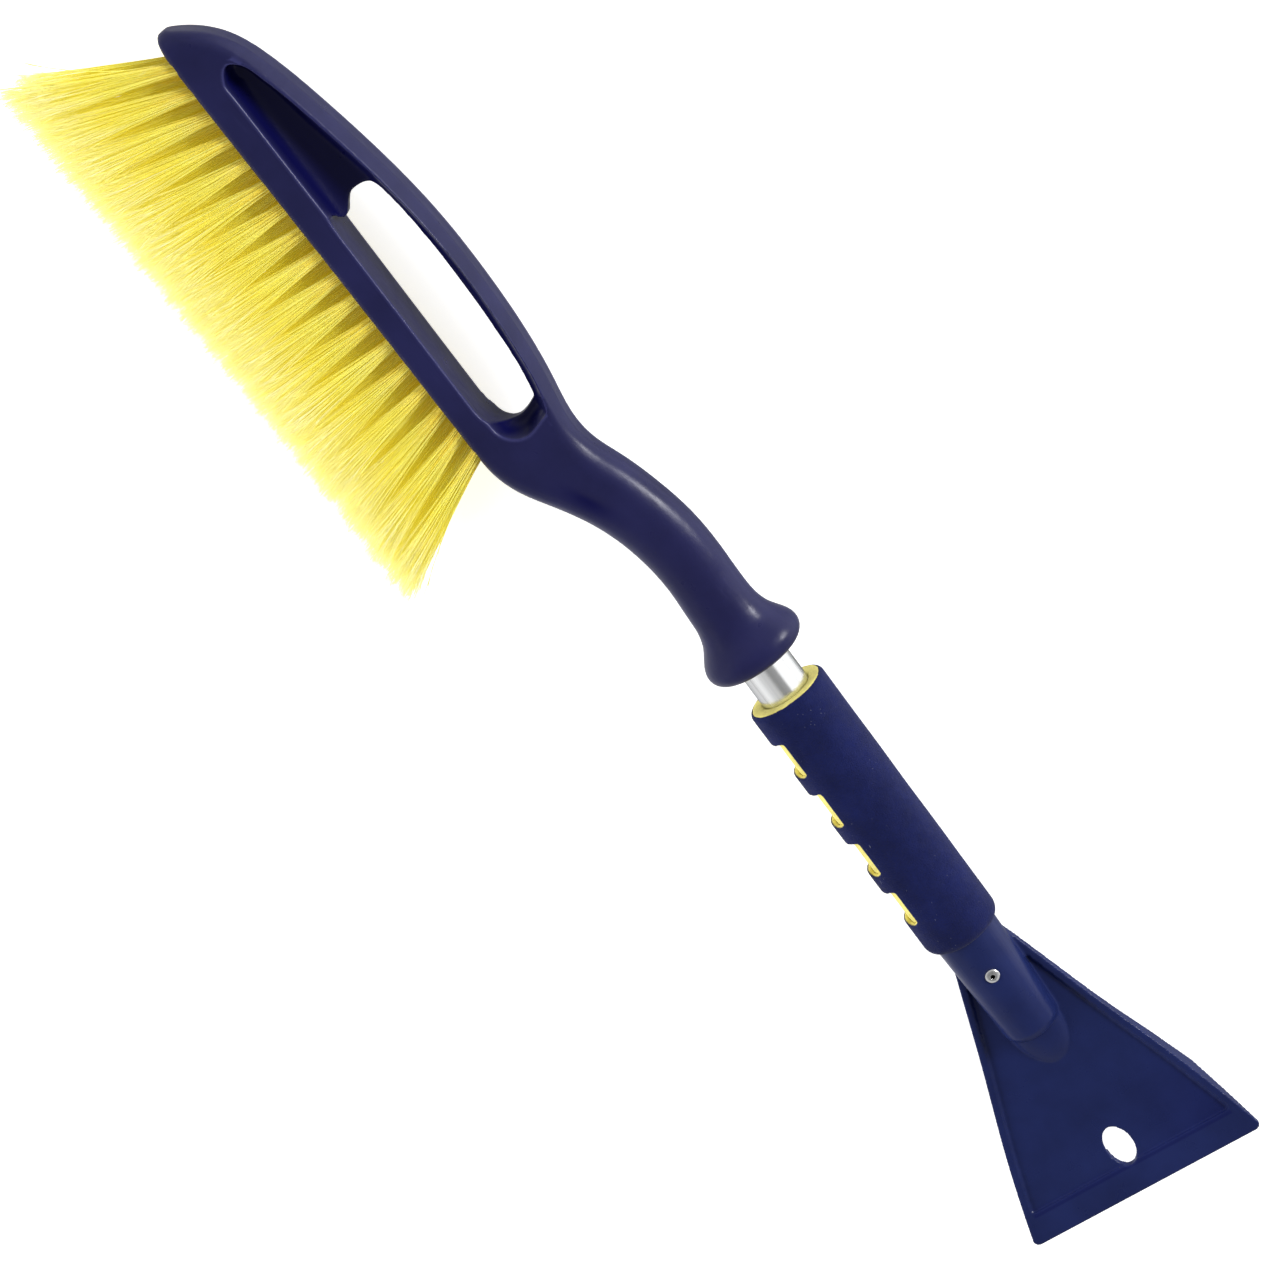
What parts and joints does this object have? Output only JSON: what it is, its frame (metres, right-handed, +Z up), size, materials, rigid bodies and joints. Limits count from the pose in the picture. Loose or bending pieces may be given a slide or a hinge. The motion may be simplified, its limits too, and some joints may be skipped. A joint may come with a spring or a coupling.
{
  "type": "windshield ice scraper with snow brush",
  "caption": "Snow brush with a loop handle and rows of long bristles, a curved neck, an aluminium tube with a notched foam grip, and a flared ice scraper blade with a hanging hole.",
  "frame": {"origin": "on the surface that the tool lies on, under the middle of its bounding box", "axes": "+X along the tube towards the scraping edge, +Y from the bristles to the loop handle, +Z up out of the side it lies on"},
  "size_m": [0.6385, 0.1607, 0.0434],
  "materials": {
    "navy_plastic": "satin moulded polypropylene",
    "bristle": "translucent yellow polypropylene filament",
    "aluminium_tube": "drawn, satin",
    "yellow_foam": "closed-cell foam",
    "navy_foam": "closed-cell foam, matte",
    "rivet_steel": "bright plated steel",
    "anchor_steel": "plain steel wire"
  },
  "bodies": {
    "root": {"bristle_back_01": "bristle", "bristle_back_02": "bristle", "bristle_back_03": "bristle", "bristle_back_04": "bristle", "bristle_back_05": "bristle", "bristle_back_06": "bristle", "bristle_back_07": "bristle", "bristle_back_08": "bristle", "bristle_back_09": "bristle", "bristle_back_10": "bristle", "bristle_back_11": "bristle", "bristle_back_12": "bristle", "bristle_back_13": "bristle", "bristle_back_14": "bristle", "bristle_back_15": "bristle", "bristle_back_16": "bristle", "bristle_back_17": "bristle", "bristle_back_18": "bristle", "bristle_front_01": "bristle", "bristle_front_02": "bristle", "bristle_front_03": "bristle", "bristle_front_04": "bristle", "bristle_front_05": "bristle", "bristle_front_06": "bristle", "bristle_front_07": "bristle", "bristle_front_08": "bristle", "bristle_front_09": "bristle", "bristle_front_10": "bristle", "bristle_front_11": "bristle", "bristle_front_12": "bristle", "bristle_front_13": "bristle", "bristle_front_14": "bristle", "bristle_front_15": "bristle", "bristle_front_16": "bristle", "bristle_front_17": "bristle", "bristle_front_18": "bristle", "bristle_middle_01": "bristle", "bristle_middle_02": "bristle", "bristle_middle_03": "bristle", "bristle_middle_04": "bristle", "bristle_middle_05": "bristle", "bristle_middle_06": "bristle", "bristle_middle_07": "bristle", "bristle_middle_08": "bristle", "bristle_middle_09": "bristle", "bristle_middle_10": "bristle", "bristle_middle_11": "bristle", "bristle_middle_12": "bristle", "bristle_middle_13": "bristle", "bristle_middle_14": "bristle", "bristle_middle_15": "bristle", "bristle_middle_16": "bristle", "bristle_middle_17": "bristle", "brush_head": "navy_plastic", "grip_inner_sleeve": "yellow_foam", "grip_outer_sleeve": "navy_foam", "handle_tube": "aluminium_tube", "scraper_head": "navy_plastic", "socket_rivet": "rivet_steel", "tuft_anchors": "anchor_steel"}
  },
  "joints": []
}
